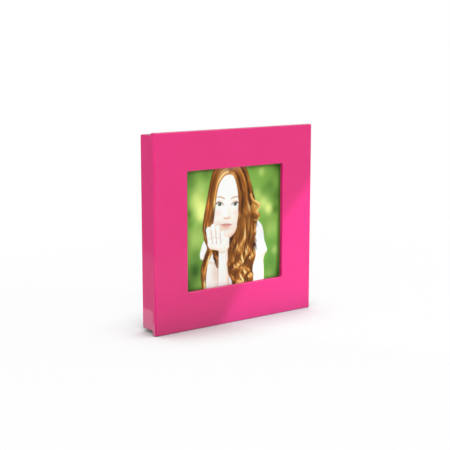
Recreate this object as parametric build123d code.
from build123d import *
import os

# A magnetic photo frame: a flat cover plate with a square window, held by magnets on a shallow housing.
# X runs to the viewer's right, Y from the front to the back and Z up. The origin is the middle of the
# base, halfway through the depth. All sizes are in millimetres.

# Photo print, a standard square size, and what presses it forward
print_side = 100.0
print_thick = 0.3
print_gap = 0.5
card_thick = 1.0
foam_thick = 0.8
foam_margin = 4.0
thumb_notch_r = 9.0

# Cover plate, the loose front that the magnets hold
border_width = 29.5  # from the window to the plate's edge
plate_skin = 1.4  # material in front of the steel discs
plate_corner_r = 1.0
plate_edge_r = 0.8
plate_back_edge_r = 0.25
plate_overhang = 2.2  # how far the plate stands past the housing on every side
window_corner_r = 1.5
window_edge_r = 0.8
window_lap = 4.5  # how far the pane and the print reach behind the window's edge

# Clear pane behind the window
pane_thick = 1.0
pane_gap = 0.25
pane_corner_r = 1.5
tape_thick = 0.15
tape_margin = 0.75

# Housing: an open ring with a tray in its front and a panel in its back
shell_wall = 3.0
shell_corner_r = 1.2
shell_edge_r = 0.7
tray_floor = 1.8
tray_gap = 0.2
panel_thick = 2.5
panel_recess = 0.5
panel_gap = 0.25
panel_edge_r = 0.4

# Posts inside the ring that carry the tray and the panel
post_length = 10.1
post_d = 7.0
post_rib = 4.0
post_from_magnet = 24.0
post_head_margin = 1.5  # tray material left outside a screw head

# Magnets on the tray and the steel discs that they pull in the plate
magnet_d = 12.0
magnet_thick = 3.0
magnet_proud = 1.0
magnet_air = 0.1
magnet_pocket_gap = 0.1
magnet_socket_gap = 0.25
magnet_edge = 0.3
boss_wall = 0.6
boss_length = 5.5
boss_floor = 0.8
disc_thick = 1.5
disc_gap = 0.1

# Countersunk self-tapping screws, one gauge throughout
screw_d = 2.5
screw_head_d = 5.0
screw_head_length = 1.4
screw_tip_d = 0.6
screw_tip_length = 1.0
screw_tip_room = 0.6  # free length left in front of a screw's tip
screw_gap = 0.06
screw_sink = 0.1  # how far a head lies under its surface
cross_length = 2.6
cross_width = 0.6
cross_depth = 0.8

# Rubber feet under the housing
foot_width = 10.0
foot_inset = 22.5  # from the housing's side to the middle of a foot
foot_margin = 2.5  # from the housing's front and back to a foot
foot_corner_r = 2.0
foot_edge_r = 0.6
foot_recess = 0.6
foot_gap = 0.15

# Keyhole in the rear panel, for the head of a wall screw
keyhole_entry_d = 9.0
keyhole_slot_width = 4.6
keyhole_slot_length = 8.0
keyhole_drop = 36.0  # from the housing's top to the middle of the entry hole

# Sizes across the front that follow from the ones above
window_side = print_side - 2 * window_lap
plate_side = window_side + 2 * border_width
shell_side = plate_side - 2 * plate_overhang
shell_inner = shell_side - 2 * shell_wall
recess_side = print_side + 2 * print_gap
tray_side = shell_inner - 2 * tray_gap
panel_side = shell_inner - 2 * panel_gap
pocket_d = magnet_d + 2 * magnet_pocket_gap
socket_d = magnet_d + 2 * magnet_socket_gap
boss_d = pocket_d + 2 * boss_wall
pilot_d = screw_d + 2 * screw_gap
magnet_at = (recess_side + tray_side) / 4
post_x = tray_side / 2 - screw_head_d / 2 - post_head_margin
post_z = magnet_at - post_from_magnet
z_middle = plate_side / 2

# Sizes through the depth
socket_depth = disc_thick + magnet_air + magnet_proud
plate_thick = plate_skin + socket_depth
rebate_depth = pane_thick + tape_thick
recess_depth = print_thick + card_thick + foam_thick
tray_thick = recess_depth + tray_floor
shell_depth = tray_thick + post_length + panel_thick + panel_recess
post_bite = post_length / 2 - screw_tip_room

# Levels through the depth, from the front face to the back rim
y_face = -(plate_thick + shell_depth) / 2
y_joint = y_face + plate_thick
y_tray_back = y_joint + tray_thick
y_boss_back = y_tray_back + boss_length
y_panel_inner = y_tray_back + post_length
y_panel_outer = y_panel_inner + panel_thick
y_back = y_joint + shell_depth

corners = [(side, level) for side in (-1, 1) for level in (-1, 1)]
magnet_spots = [(side * magnet_at, level * magnet_at) for side, level in corners]
post_spots = [(side * post_x, level * post_z) for side, level in corners]


def face_at(y):
    """The upright drawing plane at depth y, seen from the front, centred on the frame's middle."""
    return Plane(origin=(0, y, z_middle), x_dir=(1, 0, 0), z_dir=(0, -1, 0))


def slab(outline, y_front, y_rear):
    """A flat piece of that outline between two depths."""
    return extrude(face_at(y_rear) * outline, y_rear - y_front)


def square(side, corner_r=0.0):
    return RectangleRounded(side, side, corner_r) if corner_r else Rectangle(side, side)


def round_bar(diameter, y_front, y_rear, spots):
    """Equal cylinders along the depth, one at each spot on the drawing plane."""
    outline = Sketch() + [Pos(x, z) * Circle(diameter / 2) for x, z in spots]
    return slab(outline, y_front, y_rear)


def front_face(part):
    return part.faces().sort_by(Axis.Y)[0]


def rear_face(part):
    return part.faces().sort_by(Axis.Y)[-1]


def screw(length):
    """A countersunk screw whose head lies on the drawing plane and whose tip points back along local -Z."""
    head = Pos(0, 0, -screw_head_length / 2) * Cone(
        screw_d / 2, screw_head_d / 2, screw_head_length
    )
    shank_length = length - screw_tip_length
    shank = Pos(0, 0, -shank_length / 2) * Cylinder(screw_d / 2, shank_length)
    tip = Pos(0, 0, -length + screw_tip_length / 2) * Cone(
        screw_tip_d / 2, screw_d / 2, screw_tip_length
    )
    cross = Box(cross_length, cross_width, 2 * cross_depth) + Box(
        cross_width, cross_length, 2 * cross_depth
    )
    return head + shank + tip - cross


def screw_hole(depth):
    """The clearance cut for a screw: a countersink on the drawing plane and a bore behind it."""
    sink_d = screw_head_d + 2 * screw_gap
    sink = Pos(0, 0, -screw_head_length / 2) * Cone(
        pilot_d / 2, sink_d / 2, screw_head_length
    )
    lead_in = Pos(0, 0, screw_sink / 2) * Cylinder(sink_d / 2, screw_sink)
    bore = Pos(0, 0, -depth / 2) * Cylinder(pilot_d / 2, depth)
    return sink + lead_in + bore


def placed(tool, y, spots, from_behind=False):
    """Copies of a tool whose local +Z faces out of the front, or out of the back."""
    turn = Rot(0, 180, 0) if from_behind else Rot(0, 0, 0)
    return [face_at(y) * Pos(x, z) * turn * tool for x, z in spots]


def make_front_plate():
    plate = slab(square(plate_side, plate_corner_r), y_face, y_joint)
    plate -= slab(square(window_side, window_corner_r), y_face, y_joint)
    plate = fillet(front_face(plate).outer_wire().edges(), plate_edge_r)
    plate = fillet(front_face(plate).inner_wires()[0].edges(), window_edge_r)
    plate = fillet(rear_face(plate).outer_wire().edges(), plate_back_edge_r)
    rebate = square(print_side + 2 * pane_gap, pane_corner_r + pane_gap)
    plate -= slab(rebate, y_joint - rebate_depth, y_joint)
    plate -= round_bar(socket_d, y_joint - socket_depth, y_joint, magnet_spots)
    return plate


def make_window_pane():
    return slab(square(print_side, pane_corner_r), y_joint - pane_thick, y_joint)


def make_glazing_tape():
    """Four strips on the rebate's ledge, outside the window and inside the pane's edge."""
    middle = window_side / 2 + window_lap / 2
    tape_width = window_lap - 2 * tape_margin
    strips = Sketch()
    for sign in (-1, 1):
        strips += Pos(0, sign * middle) * Rectangle(window_side, tape_width)
        strips += Pos(sign * middle, 0) * Rectangle(tape_width, window_side)
    y_ledge = y_joint - rebate_depth
    return slab(strips, y_ledge, y_ledge + tape_thick)


def make_strike_discs():
    y_bottom = y_joint - socket_depth
    return round_bar(socket_d - 2 * disc_gap, y_bottom, y_bottom + disc_thick, magnet_spots)


def make_photo_print():
    return slab(square(print_side), y_joint, y_joint + print_thick)


def make_backing_card():
    y_front = y_joint + print_thick
    return slab(square(print_side), y_front, y_front + card_thick)


def make_foam_pad():
    y_rear = y_joint + recess_depth
    return slab(square(print_side - 2 * foam_margin), y_rear - foam_thick, y_rear)


def make_photo_tray():
    tray = slab(square(tray_side, shell_corner_r), y_joint, y_tray_back)
    tray += round_bar(boss_d, y_tray_back, y_boss_back, magnet_spots)
    notch = Pos(recess_side / 2, 0) * Circle(thumb_notch_r)
    tray -= slab(square(recess_side) + notch, y_joint, y_joint + recess_depth)
    y_pocket = y_joint + magnet_thick - magnet_proud
    tray -= round_bar(pocket_d, y_joint, y_pocket, magnet_spots)
    tray -= round_bar(pilot_d, y_joint, y_boss_back - boss_floor, magnet_spots)
    tray -= placed(screw_hole(tray_thick), y_joint + screw_sink, post_spots)
    return tray


def make_body_shell():
    ring = slab(square(shell_side, shell_corner_r), y_joint, y_back)
    ring = fillet(rear_face(ring).edges(), shell_edge_r)
    ring -= slab(square(shell_inner, shell_corner_r), y_joint, y_back)
    rib_length = shell_inner / 2 - post_x + shell_wall / 2
    posts = Sketch()
    for x, z in post_spots:
        side = 1 if x > 0 else -1
        posts += Pos(x, z) * Circle(post_d / 2)
        posts += Pos(x + side * rib_length / 2, z) * Rectangle(rib_length, post_rib)
    ring += slab(posts, y_tray_back, y_panel_inner)
    ring -= round_bar(pilot_d, y_tray_back, y_panel_inner, post_spots)
    ring -= feet_blocks(plate_overhang, foot_recess, foot_gap)
    return ring


def feet_blocks(z_low, height, growth=0.0):
    """The feet's two rounded blocks, or the recesses cut for them."""
    ground = Plane(origin=(0, (y_joint + y_back) / 2, z_low))
    foot_length = shell_depth - 2 * foot_margin
    outline = RectangleRounded(
        foot_width + 2 * growth, foot_length + 2 * growth, foot_corner_r + growth
    )
    foot_x = shell_side / 2 - foot_inset
    pair = Sketch() + [Pos(side * foot_x, 0) * outline for side in (-1, 1)]
    return extrude(ground * pair, height)


def make_rubber_feet():
    feet = feet_blocks(0, plate_overhang + foot_recess)
    lower_edges = feet.edges().group_by(Axis.Z)[0]
    return fillet(lower_edges, foot_edge_r)


def make_deck_magnets():
    """Disc magnets, countersunk for their screws, standing a little proud of the tray."""
    disc = Pos(0, 0, -magnet_thick / 2) * Cylinder(magnet_d / 2, magnet_thick)
    rims = disc.edges().filter_by(GeomType.CIRCLE)
    disc = chamfer(rims, magnet_edge)
    disc -= Pos(0, 0, -screw_sink) * screw_hole(magnet_thick)
    return Compound(children=placed(disc, y_joint - magnet_proud, magnet_spots))


def make_magnet_screws():
    y_head = y_joint - magnet_proud + screw_sink
    length = y_boss_back - boss_floor - screw_tip_room - y_head
    return Compound(children=placed(screw(length), y_head, magnet_spots))


def make_tray_screws():
    length = tray_thick - screw_sink + post_bite
    return Compound(children=placed(screw(length), y_joint + screw_sink, post_spots))


def make_rear_panel():
    panel = slab(square(panel_side, shell_corner_r), y_panel_inner, y_panel_outer)
    panel = fillet(rear_face(panel).edges(), panel_edge_r)
    entry_z = shell_side / 2 - keyhole_drop
    entry = Pos(0, entry_z) * Circle(keyhole_entry_d / 2)
    slot = Pos(0, entry_z + keyhole_slot_length / 2) * Rectangle(
        keyhole_slot_width, keyhole_slot_length
    )
    slot_end = Pos(0, entry_z + keyhole_slot_length) * Circle(keyhole_slot_width / 2)
    panel -= slab(entry + slot + slot_end, y_panel_inner, y_panel_outer)
    hole = screw_hole(panel_thick)
    panel -= placed(hole, y_panel_outer - screw_sink, post_spots, from_behind=True)
    return panel


def make_panel_screws():
    length = panel_thick - screw_sink + post_bite
    y_head = y_panel_outer - screw_sink
    return Compound(children=placed(screw(length), y_head, post_spots, from_behind=True))


pieces = {
    "front_plate": make_front_plate,
    "window_pane": make_window_pane,
    "glazing_tape": make_glazing_tape,
    "strike_discs": make_strike_discs,
    "photo_print": make_photo_print,
    "backing_card": make_backing_card,
    "foam_pad": make_foam_pad,
    "photo_tray": make_photo_tray,
    "body_shell": make_body_shell,
    "rubber_feet": make_rubber_feet,
    "deck_magnets": make_deck_magnets,
    "magnet_screws": make_magnet_screws,
    "tray_screws": make_tray_screws,
    "rear_panel": make_rear_panel,
    "panel_screws": make_panel_screws,
}

os.makedirs("parts", exist_ok=True)
for name, make in pieces.items():
    export_step(make(), os.path.join("parts", name + ".step"))
    print("wrote", name)
